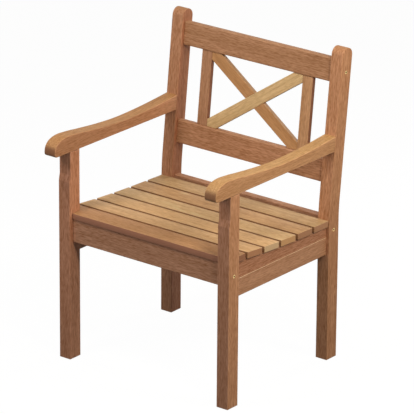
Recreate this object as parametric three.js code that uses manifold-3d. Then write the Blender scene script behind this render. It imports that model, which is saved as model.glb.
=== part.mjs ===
// A hardwood garden armchair with a slatted seat and a cross back, in millimetres, +Z up.
// The sitter faces -Y and the chair's left is -X. The origin is on the floor, at the middle of
// the chair's overall width and depth. Until the last lines, y is measured from the front face
// of the front legs.

import * as THREE from "three";
import { mergeVertices } from "three/addons/utils/BufferGeometryUtils.js";
import Module from "manifold-3d";

// Overall sizes
const chairWidth = 600; // over the outer faces of the legs
const frameDepth = 496; // front of the front legs to the back of the rear posts, at the floor
const seatFrontHeight = 436.5; // floor to the top of the front slat
const armHeight = 180.5; // top of the front slat to the flat underside of the arms
const backHeight = 469.5; // top of the front slat to the rounded tops of the rear posts
const rakeAngle = THREE.MathUtils.degToRad(6.2); // how far the back leans from upright

// Clearances
const jointGap = 0.3; // glue line of a joint, and all round a tenon or a dowel
const notchClearance = 0.5; // round the legs in the front slat, and behind the last slat
const cutOverrun = 2; // how far a cutter reaches past the face that it opens

// Legs and posts
const legWidth = 39.5; // along X
const legDepth = 44; // along Y
const legArris = 1.5; // rounding of the long edges
const shoulderRecess = 4; // how much thinner the front leg is above its shoulder
const shoulderDrop = 67; // arm underside to the top of the sloped shoulder
const shoulderSlope = 21; // height of the slope itself
const bendRise = 9.5; // top of the front slat to the bend of the posts' centre lines
const bendRadius = 600; // centre line of the bend

// Arms
const noseOverhang = 60; // past the front face of the leg
const noseCornerRadius = 9; // under the nose
const armArris = 2; // rounding of the long edges
const armCrestThickness = 49.5; // over the front leg, the thickest place
// Points of the nose curve: shares of the overhang, and of the crest's thickness.
const noseCurveShares = { crestReach: 0.53, frontReach: 0.97, shoulder: 0.81, tip: 0.28 };
// Top of the arm from the leg to the post: shares of that length, and of the crest's thickness.
const armTopShares = [
  [0.085, 0.94],
  [0.17, 0.85],
  [0.34, 0.7],
  [0.51, 0.622],
  [0.68, 0.657],
  [0.85, 0.755],
  [1, 0.88],
];

// Seat slats
const slatCount = 6;
const slatThickness = 18.5;
const slatGap = 10;
const slatArris = 1.5;
const slatEndArris = 1;
const slatEndSetback = 3; // slat end to the outer face of the leg
const seatFrontSetback = 10.5; // front slat behind the front face of the leg
const seatDrop = 18; // front slat's top down to the rear slat's back edge
// How far the seat has dropped at equal steps from front to rear, as shares of seatDrop.
const seatDropShares = [0, 0.02, 0.37, 0.62, 0.8, 0.9, 1];

// Side rails, each an upper and a lower board glued edge to edge
const sideRailThickness = 22;
const sideRailSetback = 10; // behind the outer face of the leg
const sideRailDepth = 121; // top of the front slat to the rail's lower edge
const lowerBoardHeight = 52; // the rail's lower edge to the glue line
const railArris = 1.5;

// Front apron and rear seat rail
const apronThickness = 20;
const apronSetback = 13.5; // behind the front face of the leg
const crossRailDepth = 85.5; // top of the front slat to the lower edge of both cross rails
const seatRailThickness = 22;
const seatRailRise = 4.5; // above the top of the rear slat
const crossRailArris = 1.5;

// Back rails, stiles and diagonals, with heights along the raked posts
const backRailHeight = 69;
const backRailThickness = 22;
const backRailArris = 4;
const topRailDrop = 35; // tops of the posts to the top of the upper rail
const lowerRailRise = 71.5; // bend of the posts to the lower edge of the lower rail
const stileWidth = 35;
const stileThickness = 13;
const stileClearance = 65.5; // post to stile
const stileSetback = 4; // behind the front face of the rails
const stileArris = 1;
const diagonalWidth = 36;

// Tenons, each named for the piece that carries it
const legTenonWidth = 16;
const legTenonDepth = 22;
const legTenonLength = 24;
const armTenonWidth = 12;
const armTenonHeight = 22;
const armTenonLength = 18;
const sideTenonThickness = 10;
const sideTenonHeight = 22;
const sideTenonLength = 15;
const sideTenonShoulder = 6; // lower edge of each board to its tenon
const lowerRailTenonThickness = 10;
const lowerRailTenonLength = 20;
const lowerRailTenonShoulder = 12; // rail edge to tenon
const stileTenonThickness = 7;
const stileTenonLength = 8;
const stileTenonShoulder = 5;

// Bolts with barrel nuts, and the wooden dowels
const boltRadius = 3;
const boltClearance = 0.4; // round the shank in wood
const boltHeadRadius = 5;
const boltHeadHeight = 6;
const boltHeadRecess = 0.5; // below the face of the leg
const headClearance = 0.5; // round the head in its counterbore
const socketRadius = 2.9; // over the corners of the hexagon socket
const socketDepth = 3;
const socketSides = 6;
const boltReach = 45; // inner face of the leg to the middle of the barrel nut
const boltTip = 8; // end of the shank past the middle of the nut
const nutRadius = 5;
const nutLength = 14;
const dowelRadius = 4;
const dowelLength = 30;
const dowelOffset = 20; // bolt to the locating dowel under it
const slatDowelInSlat = 10; // part of a slat's dowel that is inside the slat

// Fineness of the faceted surfaces
const curveSteps = 10; // for each arc or curve of a sawn outline
const arrisSteps = 2; // for each rounded edge
const roundSides = 16; // for each bolt, nut and dowel
const weldDistance = 1e-4;

const wasm = await Module();
wasm.setup();

// Places that several pieces share
const legOuter = chairWidth / 2;
const legInner = legOuter - legWidth;
const legMiddle = (legOuter + legInner) / 2;
const postFront = frameDepth - legDepth;
const postMiddle = frameDepth - legDepth / 2;
const armUnderside = seatFrontHeight + armHeight;
const bendHeight = seatFrontHeight + bendRise;
const chairHeight = seatFrontHeight + backHeight;
const postTop = (chairHeight - legDepth / 2 - bendHeight) / Math.cos(rakeAngle) + legDepth / 2;
const slatHalfLength = legOuter - slatEndSetback;
const seatDepth = postFront - notchClearance - seatFrontSetback;
const slatWidth = (seatDepth - (slatCount - 1) * slatGap) / slatCount;
const sideRailBottom = seatFrontHeight - sideRailDepth;
const crossRailBottom = seatFrontHeight - crossRailDepth;
const railOuter = legOuter - sideRailSetback;
const railMiddle = railOuter - sideRailThickness / 2;
const apronMiddle = apronSetback + apronThickness / 2;
const topRailTop = postTop - topRailDrop;
const topRailBottom = topRailTop - backRailHeight;
const lowerRailBottom = lowerRailRise;
const lowerRailTop = lowerRailBottom + backRailHeight;
const stileOuter = legInner - stileClearance;
const stileInner = stileOuter - stileWidth;
const stileFront = stileSetback - backRailThickness / 2;
const stileMiddle = stileFront + stileThickness / 2;

// The raked frame of the back: its origin is where the posts' centre lines bend, y runs
// through the back and z runs up along the posts.
const backFrame = new THREE.Matrix4()
  .makeTranslation(0, postMiddle, bendHeight)
  .multiply(new THREE.Matrix4().makeRotationX(-rakeAngle));

// y of the post's raked front face at a height above the floor.
function postFaceAt(height) {
  const faceHeight = height - bendHeight;
  return postMiddle - legDepth / 2 / Math.cos(rakeAngle) + faceHeight * Math.tan(rakeAngle);
}

// Place in the back frame of a point at (y, z) of the chair.
function inBackFrame(y, z) {
  return new THREE.Vector3(0, y, z).applyMatrix4(backFrame.clone().invert());
}

// Height of the seat's top at y, from the table of drops.
function seatTopAt(y) {
  const steps = seatDropShares.length - 1;
  const along = THREE.MathUtils.clamp((y - seatFrontSetback) / seatDepth, 0, 1) * steps;
  const step = Math.min(Math.floor(along), steps - 1);
  const share = THREE.MathUtils.lerp(seatDropShares[step], seatDropShares[step + 1], along - step);
  return seatFrontHeight - share * seatDrop;
}

// The solid that a closed geometry bounds.
function toSolid(geometry) {
  const bare = new THREE.BufferGeometry();
  bare.setAttribute("position", geometry.getAttribute("position"));
  bare.setIndex(geometry.index);
  const welded = mergeVertices(bare, weldDistance);
  const vertProperties = welded.getAttribute("position").array;
  const triVerts = new Uint32Array(welded.index.array);
  return new wasm.Manifold(new wasm.Mesh({ numProp: 3, vertProperties, triVerts }));
}

// A geometry for a solid, with flat facets.
function toGeometry(solid) {
  const mesh = solid.getMesh();
  const geometry = new THREE.BufferGeometry();
  geometry.setAttribute("position", new THREE.BufferAttribute(mesh.vertProperties, mesh.numProp));
  geometry.setIndex(new THREE.BufferAttribute(mesh.triVerts, 1));
  const faceted = geometry.toNonIndexed();
  faceted.computeVertexNormals();
  return faceted;
}

// A piece after its tenons are left on, and its mortises and holes are cut.
function worked(blank, tenons, cutters) {
  let solid = toSolid(blank);
  for (const tenon of tenons) {
    solid = solid.add(toSolid(tenon));
  }
  for (const cutter of cutters) {
    solid = solid.subtract(toSolid(cutter));
  }
  return toGeometry(solid);
}

// A block between two corners.
function block(low, high) {
  const size = new THREE.Vector3(...high).sub(new THREE.Vector3(...low));
  const middle = new THREE.Vector3(...high).add(new THREE.Vector3(...low)).multiplyScalar(1 / 2);
  return new THREE.BoxGeometry(size.x, size.y, size.z).translate(middle.x, middle.y, middle.z);
}

// The block grown on every side by a clearance.
function grownBlock(low, high, clearance) {
  return block(
    low.map((value) => value - clearance),
    high.map((value) => value + clearance),
  );
}

// The same geometry on the other side of the chair, when side is -1.
function onSide(geometry, side) {
  if (side > 0) {
    return geometry;
  }
  const mirrored = geometry.clone().scale(side, 1, 1);
  const { count } = mirrored.getAttribute("position");
  const corners = Array.from(mirrored.index ? mirrored.index.array : Array(count).keys());
  mirrored.setIndex(corners.reverse());
  return mirrored;
}

// An outline that turns anticlockwise through its corners, each rounded to a radius.
function roundedOutline(corners, radius) {
  const shape = new THREE.Shape();
  const points = corners.map((corner) => new THREE.Vector2(...corner));
  points.forEach((corner, index) => {
    const before = points[(index + points.length - 1) % points.length].clone().sub(corner);
    const after = points[(index + 1) % points.length].clone().sub(corner);
    const reach = radius / Math.tan(before.angleTo(after) / 2);
    const start = before.setLength(reach).add(corner);
    const end = after.setLength(reach).add(corner);
    if (index === 0) {
      shape.moveTo(start.x, start.y);
    } else {
      shape.lineTo(start.x, start.y);
    }
    shape.quadraticCurveTo(corner.x, corner.y, end.x, end.y);
  });
  shape.closePath();
  return shape;
}

// A board of an outline, centred on its thickness, with the edges of both faces rounded.
function board(shape, thickness, arris, steps) {
  return new THREE.ExtrudeGeometry(shape, {
    depth: thickness - 2 * arris,
    curveSegments: steps,
    bevelEnabled: arris > 0,
    bevelThickness: arris,
    bevelSize: arris,
    bevelOffset: -arris,
    bevelSegments: arrisSteps,
  }).translate(0, 0, arris - thickness / 2);
}

// Turns a board drawn in (y, z) so that its thickness lies along X.
const acrossChair = new THREE.Matrix4().set(0, 0, 1, 0, 1, 0, 0, 0, 0, 1, 0, 0, 0, 0, 0, 1);

// Turns a board drawn in (x, z) so that its thickness lies along Y.
const facingFront = new THREE.Matrix4().set(1, 0, 0, 0, 0, 0, -1, 0, 0, 1, 0, 0, 0, 0, 0, 1);

// A sideways board of the leg's width, seen in profile.
function profileBoard(shape, thickness, middle, arris, steps) {
  return board(shape, thickness, arris, steps).applyMatrix4(acrossChair).translate(middle, 0, 0);
}

// A rail across the chair with its four long edges rounded, between two corners in (y, z).
function crossRail(low, high, length, arris) {
  const corners = [low, [high[0], low[1]], high, [low[0], high[1]]];
  return profileBoard(roundedOutline(corners, arris), length, 0, 0, arrisSteps);
}

// A round bar along X from one place to another.
function barAlongX(radius, from, to, y, z) {
  const bar = new THREE.CylinderGeometry(radius, radius, Math.abs(to - from), roundSides);
  return bar.rotateZ(Math.PI / 2).translate((from + to) / 2, y, z);
}

// A round bar along Y from one place to another.
function barAlongY(radius, x, from, to, z) {
  const bar = new THREE.CylinderGeometry(radius, radius, Math.abs(to - from), roundSides);
  return bar.translate(x, (from + to) / 2, z);
}

// A round bar along Z from one place to another.
function barAlongZ(radius, x, y, from, to) {
  const bar = new THREE.CylinderGeometry(radius, radius, Math.abs(to - from), roundSides);
  return bar.rotateX(Math.PI / 2).translate(x, y, (from + to) / 2);
}

const chair = new THREE.Group();
const back = new THREE.Group();
back.applyMatrix4(backFrame);
chair.add(back);

// Colours of the oiled timber, board by board, and of the plated steel.
const frameColour = 0xae8158;
const armColour = 0xb98a60;
const railColour = 0xa87a57;
const slatColours = [0xb88762, 0xc59b6f, 0xc8a070, 0xcaa474, 0xc49a6d, 0xc0966c];
const paleColour = 0xcdab7a;
const stileColour = 0xb08158;
const dowelColour = 0xd9bc8e;
const boltColour = 0xcbb287;

function addWood(name, geometry, color, parent) {
  const material = new THREE.MeshStandardMaterial({ color, roughness: 0.62, metalness: 0 });
  const mesh = new THREE.Mesh(geometry, material);
  mesh.name = name;
  parent.add(mesh);
}

function addMetal(name, geometry, parent) {
  const material = new THREE.MeshStandardMaterial({
    color: boltColour,
    roughness: 0.35,
    metalness: 1,
  });
  const mesh = new THREE.Mesh(geometry, material);
  mesh.name = name;
  parent.add(mesh);
}

// One bolted joint of a rail to a leg or post, on the chair's right (+X) side. The bolt runs
// along X at (y, z), its nut stands across the rail, and a dowel under it stops the rail turning.
// nutFace is the face of the rail that the nut is dropped in from: 1 behind, -1 in front.
function boltedJoint(y, z, nutFace) {
  const headEnd = legOuter - boltHeadRecess;
  const shoulder = headEnd - boltHeadHeight;
  const nutMiddle = legInner - boltReach;
  const shankEnd = nutMiddle - boltTip;
  const dowelHeight = z - dowelOffset;
  const dowelOuter = legInner + dowelLength / 2;
  const dowelInner = legInner - dowelLength / 2;
  const holeRadius = boltRadius + boltClearance;
  const nutEnd = y - (nutFace * nutLength) / 2;
  const socketLength = socketDepth + cutOverrun;
  const socket = new THREE.CylinderGeometry(socketRadius, socketRadius, socketLength, socketSides)
    .rotateZ(Math.PI / 2)
    .translate(headEnd + (cutOverrun - socketDepth) / 2, y, z);
  const shank = barAlongX(boltRadius, shankEnd, shoulder + cutOverrun, y, z);
  return {
    bolt: worked(barAlongX(boltHeadRadius, shoulder, headEnd, y, z), [shank], [socket]),
    nut: worked(
      barAlongY(nutRadius, nutMiddle, y - nutLength / 2, y + nutLength / 2, z),
      [],
      [barAlongX(boltRadius + jointGap, nutMiddle - nutLength, nutMiddle + nutLength, y, z)],
    ),
    dowel: barAlongX(dowelRadius, dowelInner, dowelOuter, y, dowelHeight),
    legHoles: [
      barAlongX(holeRadius, legInner - cutOverrun, legOuter + cutOverrun, y, z),
      barAlongX(boltHeadRadius + headClearance, shoulder - jointGap, legOuter + cutOverrun, y, z),
      barAlongX(
        dowelRadius + jointGap,
        legInner - cutOverrun,
        dowelOuter + jointGap,
        y,
        dowelHeight,
      ),
    ],
    railHoles(railFace) {
      return [
        barAlongX(holeRadius, shankEnd - jointGap, legInner + cutOverrun, y, z),
        barAlongX(
          dowelRadius + jointGap,
          dowelInner - jointGap,
          legInner + cutOverrun,
          y,
          dowelHeight,
        ),
        barAlongY(
          nutRadius + jointGap,
          nutMiddle,
          nutEnd - nutFace * jointGap,
          railFace + nutFace * cutOverrun,
          z,
        ),
      ];
    },
  };
}

// The slats: each has its own frame, with its origin on the top front edge, and y back along
// the slat.
const slats = Array.from({ length: slatCount }, (unused, index) => {
  const front = seatFrontSetback + index * (slatWidth + slatGap);
  const frontTop = seatTopAt(front);
  const rearTop = seatTopAt(front + slatWidth);
  const tilt = Math.asin((rearTop - frontTop) / slatWidth);
  const frame = new THREE.Matrix4()
    .makeTranslation(0, front, frontTop)
    .multiply(new THREE.Matrix4().makeRotationX(tilt));
  const overBearer = Math.max(legDepth, front);
  const dowelPlace = (overBearer + front + slatWidth) / 2 - front;
  return { front, frame, dowelPlace };
});

// A point in (y, z) under a slat, at a share of its width and a gap below its underside.
function underSlat(slat, share, gap) {
  const point = new THREE.Vector3(0, share * slatWidth, -slatThickness - gap);
  point.applyMatrix4(slat.frame);
  return [point.y, point.z];
}

// The height of a slat's underside, less the joint's gap, at a place y of the chair.
function underSlatAt(slat, y) {
  const [frontY, frontZ] = underSlat(slat, 0, jointGap);
  const [rearY, rearZ] = underSlat(slat, 1, jointGap);
  return THREE.MathUtils.mapLinear(y, frontY, rearY, frontZ, rearZ);
}

const frontSlat = slats[0];
const rearSlat = slats[slatCount - 1];
const apronTop = Math.min(
  underSlatAt(frontSlat, apronSetback),
  underSlatAt(frontSlat, apronSetback + apronThickness),
);
const seatRailTop = seatTopAt(rearSlat.front + slatWidth) + seatRailRise;
const seatRailFront = postMiddle - seatRailThickness / 2;

// The three bolted joints of a side: apron to front leg, seat rail and top rail to rear post.
const apronJoint = boltedJoint(apronMiddle, (crossRailBottom + apronTop) / 2, 1);
const seatRailJoint = boltedJoint(postMiddle, (crossRailBottom + seatRailTop) / 2, -1);
const topRailJoint = boltedJoint(0, (topRailBottom + topRailTop) / 2, 1);

// Tenons of the side rail's two boards, as (low y, high y, low z, high z) at each end.
function sideTenon(endFace, direction, boardBottom) {
  const tip = endFace + direction * sideTenonLength;
  const root = endFace - direction * cutOverrun;
  const low = boardBottom + sideTenonShoulder;
  return [
    [railMiddle - sideTenonThickness / 2, Math.min(tip, root), low],
    [railMiddle + sideTenonThickness / 2, Math.max(tip, root), low + sideTenonHeight],
  ];
}

const glueLine = sideRailBottom + lowerBoardHeight;
const lowerTenons = [
  sideTenon(legDepth, -1, sideRailBottom),
  sideTenon(postFront, 1, sideRailBottom),
];
const bearerTenons = [
  sideTenon(legDepth, -1, glueLine),
  sideTenon(postFront, 1, glueLine),
];

// Tenon on top of the front leg, in the arm.
const legTopMiddle = (shoulderRecess + legDepth) / 2;
const legTenon = [
  [legMiddle - legTenonWidth / 2, legTopMiddle - legTenonDepth / 2, armUnderside - cutOverrun],
  [legMiddle + legTenonWidth / 2, legTopMiddle + legTenonDepth / 2, armUnderside + legTenonLength],
];

// Tenon on the rear end of the arm, in the post, in the back frame.
const armRearThickness = armTopShares[armTopShares.length - 1][1] * armCrestThickness;
const armRearMiddle = armUnderside + armRearThickness / 2;
const armTenonMiddle = inBackFrame(postFaceAt(armRearMiddle), armRearMiddle).z;
const armTenon = [
  [
    legMiddle - armTenonWidth / 2,
    -legDepth / 2 - jointGap - cutOverrun,
    armTenonMiddle - armTenonHeight / 2,
  ],
  [
    legMiddle + armTenonWidth / 2,
    armTenonLength - legDepth / 2,
    armTenonMiddle + armTenonHeight / 2,
  ],
];

// Tenon on the end of the lower back rail, in the post, in the back frame.
const lowerRailTenon = [
  [legInner - cutOverrun, -lowerRailTenonThickness / 2, lowerRailBottom + lowerRailTenonShoulder],
  [
    legInner + lowerRailTenonLength,
    lowerRailTenonThickness / 2,
    lowerRailTop - lowerRailTenonShoulder,
  ],
];

// Front leg: straight, with a thinner top above a sloped shoulder, and a tenon for the arm.
function frontLeg() {
  const slopeTop = armUnderside - shoulderDrop;
  const shape = new THREE.Shape();
  shape.moveTo(0, 0);
  shape.lineTo(legDepth, 0);
  shape.lineTo(legDepth, armUnderside);
  shape.lineTo(shoulderRecess, armUnderside);
  shape.lineTo(shoulderRecess, slopeTop);
  shape.lineTo(0, slopeTop - shoulderSlope);
  shape.closePath();
  const blank = profileBoard(shape, legWidth, legMiddle, legArris, curveSteps);
  const mortises = [...lowerTenons, ...bearerTenons].map(([low, high]) =>
    grownBlock(low, high, jointGap),
  );
  return worked(blank, [block(...legTenon)], [...mortises, ...apronJoint.legHoles]);
}

// Rear post: upright to the seat, bent, raked to its half-round top.
function rearPost() {
  const half = legDepth / 2;
  const bendStart = bendHeight - bendRadius * Math.tan(rakeAngle / 2);
  const bendCentre = postMiddle + bendRadius;
  const topHeight = chairHeight - half;
  const topMiddle = postMiddle + (topHeight - bendHeight) * Math.tan(rakeAngle);
  const raked = Math.PI - rakeAngle;
  const shape = new THREE.Shape();
  shape.moveTo(postFront, 0);
  shape.lineTo(frameDepth, 0);
  shape.lineTo(frameDepth, bendStart);
  shape.absarc(bendCentre, bendStart, bendRadius - half, Math.PI, raked, true);
  shape.absarc(topMiddle, topHeight, half, -rakeAngle, raked, false);
  shape.absarc(bendCentre, bendStart, bendRadius + half, raked, Math.PI, false);
  shape.closePath();
  const blank = profileBoard(shape, legWidth, legMiddle, legArris, curveSteps);
  const straight = [...lowerTenons, ...bearerTenons].map(([low, high]) =>
    grownBlock(low, high, jointGap),
  );
  const inclined = [
    grownBlock(...armTenon, jointGap),
    grownBlock(...lowerRailTenon, jointGap),
    ...topRailJoint.legHoles,
  ].map((cutter) => cutter.clone().applyMatrix4(backFrame));
  return worked(blank, [], [...straight, ...inclined, ...seatRailJoint.legHoles]);
}

// Armrest: flat under, with a rounded nose, a crest over the leg and a hollow behind it.
function armrest() {
  const top = armUnderside + armCrestThickness;
  const rearTop = armUnderside + armRearThickness;
  const run = postFaceAt(rearTop) - jointGap;
  const shape = new THREE.Shape();
  shape.moveTo(noseCornerRadius - noseOverhang, armUnderside);
  shape.lineTo(postFaceAt(armUnderside) - jointGap, armUnderside);
  shape.lineTo(run, rearTop);
  const hollow = armTopShares
    .slice(0, -1)
    .reverse()
    .map(([along, thick]) => {
      return new THREE.Vector2(along * run, armUnderside + thick * armCrestThickness);
    });
  shape.splineThru([...hollow, new THREE.Vector2(0, top)]);
  shape.bezierCurveTo(
    -noseCurveShares.crestReach * noseOverhang,
    top,
    -noseCurveShares.frontReach * noseOverhang,
    armUnderside + noseCurveShares.shoulder * armCrestThickness,
    -noseOverhang,
    armUnderside + noseCurveShares.tip * armCrestThickness,
  );
  shape.absarc(
    noseCornerRadius - noseOverhang,
    armUnderside + noseCornerRadius,
    noseCornerRadius,
    Math.PI,
    (3 / 2) * Math.PI,
    false,
  );
  shape.closePath();
  const blank = profileBoard(shape, legWidth, legMiddle, armArris, curveSteps);
  const tenon = block(...armTenon).applyMatrix4(backFrame);
  return worked(blank, [tenon], [grownBlock(...legTenon, jointGap)]);
}

// The whole side rail, before it is parted along its glue line: its top edge follows the slats.
function sideRailBlank() {
  const shape = new THREE.Shape();
  shape.moveTo(legDepth, sideRailBottom);
  shape.lineTo(postFront, sideRailBottom);
  shape.lineTo(postFront, underSlatAt(rearSlat, postFront));
  for (let index = slatCount - 1; index > 0; index -= 1) {
    shape.lineTo(...underSlat(slats[index], 0, jointGap));
    shape.lineTo(...underSlat(slats[index - 1], 1, jointGap));
  }
  shape.lineTo(legDepth, underSlatAt(frontSlat, legDepth));
  shape.closePath();
  return profileBoard(shape, sideRailThickness, railMiddle, railArris, curveSteps);
}

// A cutter that takes away one side of the glue line: the upper board when above is true.
function glueLineCutter(above) {
  const offset = above ? -jointGap / 2 : jointGap / 2;
  const far = above ? seatFrontHeight : 0;
  const start = legDepth - cutOverrun;
  const end = postFront + cutOverrun;
  const shape = new THREE.Shape();
  shape.moveTo(start, glueLine + offset);
  shape.lineTo(end, glueLine + offset);
  shape.lineTo(end, far);
  shape.lineTo(start, far);
  shape.closePath();
  return profileBoard(shape, sideRailThickness + 2 * cutOverrun, railMiddle, 0, curveSteps);
}

function sideRailBoard(tenons, above) {
  const dowelHoles = slats.map((slat) => slatDowel(slat, jointGap).applyMatrix4(slat.frame));
  const cutters = above ? dowelHoles : [];
  return worked(
    sideRailBlank(),
    tenons.map(([low, high]) => block(low, high)),
    [glueLineCutter(!above), ...cutters],
  );
}

// Dowel of a slat's right end, in the slat's frame, grown by a clearance for its hole.
function slatDowel(slat, clearance) {
  const top = slatDowelInSlat - slatThickness;
  return barAlongZ(
    dowelRadius + clearance,
    railMiddle,
    slat.dowelPlace,
    top - dowelLength - clearance,
    top + clearance,
  );
}

// Seat slat, in its own frame; the front one is notched round both legs.
function seatSlat(slat) {
  const corners = [
    [0, -slatThickness],
    [slatWidth, -slatThickness],
    [slatWidth, 0],
    [0, 0],
  ];
  const outline = roundedOutline(corners, slatArris);
  const blank = profileBoard(outline, 2 * slatHalfLength, 0, slatEndArris, arrisSteps);
  const hole = slatDowel(slat, jointGap);
  const cutters = [hole, onSide(hole, -1)];
  if (slat === frontSlat) {
    const notch = block(
      [legInner - notchClearance, -cutOverrun, -slatThickness - cutOverrun],
      [legOuter, legDepth + notchClearance - slat.front, cutOverrun],
    );
    cutters.push(notch, onSide(notch, -1));
  }
  return worked(blank, [], cutters);
}

// Front apron, with the holes of its bolts, nuts and dowels in both ends.
function frontApron() {
  const rear = apronSetback + apronThickness;
  const blank = crossRail(
    [apronSetback, crossRailBottom],
    [rear, apronTop],
    2 * legInner,
    crossRailArris,
  );
  const holes = apronJoint.railHoles(rear);
  return worked(blank, [], [...holes, ...holes.map((hole) => onSide(hole, -1))]);
}

// Rear seat rail, standing a little above the rear slat.
function rearSeatRail() {
  const blank = crossRail(
    [seatRailFront, crossRailBottom],
    [seatRailFront + seatRailThickness, seatRailTop],
    2 * legInner,
    crossRailArris,
  );
  const holes = seatRailJoint.railHoles(seatRailFront);
  return worked(blank, [], [...holes, ...holes.map((hole) => onSide(hole, -1))]);
}

// Stub tenon of a stile on the chair's right, up or down from a rail's face, in the back frame.
function stileTenon(railFace, direction) {
  const tip = railFace + direction * stileTenonLength;
  const root = railFace - direction * cutOverrun;
  return [
    [stileInner + stileTenonShoulder, stileMiddle - stileTenonThickness / 2, Math.min(tip, root)],
    [stileOuter - stileTenonShoulder, stileMiddle + stileTenonThickness / 2, Math.max(tip, root)],
  ];
}

const upperStileTenon = stileTenon(topRailBottom, 1);
const lowerStileTenon = stileTenon(lowerRailTop, -1);

// Either back rail, in the back frame, without its tenons and holes.
function backRailBlank(bottom) {
  const half = backRailThickness / 2;
  return crossRail([-half, bottom], [half, bottom + backRailHeight], 2 * legInner, backRailArris);
}

function topBackRail() {
  const mortise = grownBlock(...upperStileTenon, jointGap);
  const holes = [...topRailJoint.railHoles(backRailThickness / 2), mortise];
  const mirrored = holes.map((hole) => onSide(hole, -1));
  return worked(backRailBlank(topRailBottom), [], [...holes, ...mirrored]);
}

function lowerBackRail() {
  const mortise = grownBlock(...lowerStileTenon, jointGap);
  const tenon = block(...lowerRailTenon);
  return worked(
    backRailBlank(lowerRailBottom),
    [tenon, onSide(tenon, -1)],
    [mortise, onSide(mortise, -1)],
  );
}

// Stile on the chair's right, between the two rails.
function backStile() {
  const shape = new THREE.Shape();
  shape.moveTo(stileInner, lowerRailTop);
  shape.lineTo(stileOuter, lowerRailTop);
  shape.lineTo(stileOuter, topRailBottom);
  shape.lineTo(stileInner, topRailBottom);
  shape.closePath();
  const blank = board(shape, stileThickness, stileArris, curveSteps)
    .applyMatrix4(facingFront)
    .translate(0, stileMiddle, 0);
  return worked(blank, [block(...upperStileTenon), block(...lowerStileTenon)], []);
}

// The diagonals cross the opening between the stiles from corner to corner.
const crossHalfWidth = stileInner - jointGap;
const crossBottom = lowerRailTop + jointGap;
const crossTop = topRailBottom - jointGap;
const crossSlope = Math.atan2(crossTop - crossBottom, 2 * crossHalfWidth);

// The diagonal that rises to the chair's right, and the cutter that halves the other one over it.
function risingDiagonal() {
  const alongRail = diagonalWidth / 2 / Math.sin(crossSlope);
  const alongStile = diagonalWidth / 2 / Math.cos(crossSlope);
  const shape = new THREE.Shape();
  shape.moveTo(-crossHalfWidth, crossBottom);
  shape.lineTo(alongRail - crossHalfWidth, crossBottom);
  shape.lineTo(crossHalfWidth, crossTop - alongStile);
  shape.lineTo(crossHalfWidth, crossTop);
  shape.lineTo(crossHalfWidth - alongRail, crossTop);
  shape.lineTo(-crossHalfWidth, crossBottom + alongStile);
  shape.closePath();
  return board(shape, stileThickness, stileArris, curveSteps)
    .applyMatrix4(facingFront)
    .translate(0, stileMiddle, 0);
}

// The half of the thickness that a diagonal gives up where the other one, at a slope, crosses it.
function halvingCutter(slope, inFront) {
  const low = inFront ? -stileThickness : -jointGap / 2;
  const high = inFront ? jointGap / 2 : stileThickness;
  const half = diagonalWidth / 2 + jointGap;
  const reach = (2 * half) / Math.sin(2 * crossSlope);
  return block([-reach, low, -half], [reach, high, half])
    .rotateY(-slope)
    .translate(0, stileMiddle, (crossTop + crossBottom) / 2);
}

// The two side frames: leg, post, arm, and the side rail in its two boards.
for (const [side, label] of [
  [-1, "left"],
  [1, "right"],
]) {
  addWood("front_leg_" + label, onSide(frontLeg(), side), frameColour, chair);
  addWood("rear_post_" + label, onSide(rearPost(), side), frameColour, chair);
  addWood("armrest_" + label, onSide(armrest(), side), armColour, chair);
  addWood("side_rail_" + label, onSide(sideRailBoard(lowerTenons, false), side), railColour, chair);
  addWood(
    "seat_bearer_" + label,
    onSide(sideRailBoard(bearerTenons, true), side),
    railColour,
    chair,
  );
}

// The cross rails under the seat.
addWood("front_apron", frontApron(), railColour, chair);
addWood("rear_seat_rail", rearSeatRail(), railColour, chair);

// The slats, front to rear, each with its two dowels.
slats.forEach((slat, index) => {
  const seat = new THREE.Group();
  seat.applyMatrix4(slat.frame);
  chair.add(seat);
  const number = index + 1;
  const colour = slatColours[index % slatColours.length];
  const dowel = slatDowel(slat, 0);
  addWood("seat_slat_" + number, seatSlat(slat), colour, seat);
  addWood("slat_dowel_" + number + "_right", dowel, dowelColour, seat);
  addWood("slat_dowel_" + number + "_left", onSide(dowel, -1), dowelColour, seat);
});

// The back: two rails, two stiles and the cross.
addWood("top_back_rail", topBackRail(), frameColour, back);
addWood("lower_back_rail", lowerBackRail(), frameColour, back);
addWood("back_stile_left", onSide(backStile(), -1), stileColour, back);
addWood("back_stile_right", backStile(), stileColour, back);
addWood(
  "back_diagonal_rising",
  worked(risingDiagonal(), [], [halvingCutter(-crossSlope, false)]),
  paleColour,
  back,
);
addWood(
  "back_diagonal_falling",
  worked(onSide(risingDiagonal(), -1), [], [halvingCutter(crossSlope, true)]),
  stileColour,
  back,
);

// The bolts, their barrel nuts and the locating dowels.
for (const [place, joint, parent] of [
  ["apron", apronJoint, chair],
  ["seat_rail", seatRailJoint, chair],
  ["top_rail", topRailJoint, back],
]) {
  for (const [side, label] of [
    [-1, "left"],
    [1, "right"],
  ]) {
    addMetal(place + "_bolt_" + label, onSide(joint.bolt, side), parent);
    addMetal(place + "_barrel_nut_" + label, onSide(joint.nut, side), parent);
    addWood(place + "_dowel_" + label, onSide(joint.dowel, side), dowelColour, parent);
  }
}

// The origin goes to the middle of the chair's depth.
chair.updateMatrixWorld(true);
const extent = new THREE.Box3().setFromObject(chair, true);
chair.position.y = -(extent.min.y + extent.max.y) / 2;

export default chair;
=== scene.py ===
import math

import bmesh
import bpy
from mathutils import Matrix, Vector


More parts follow.
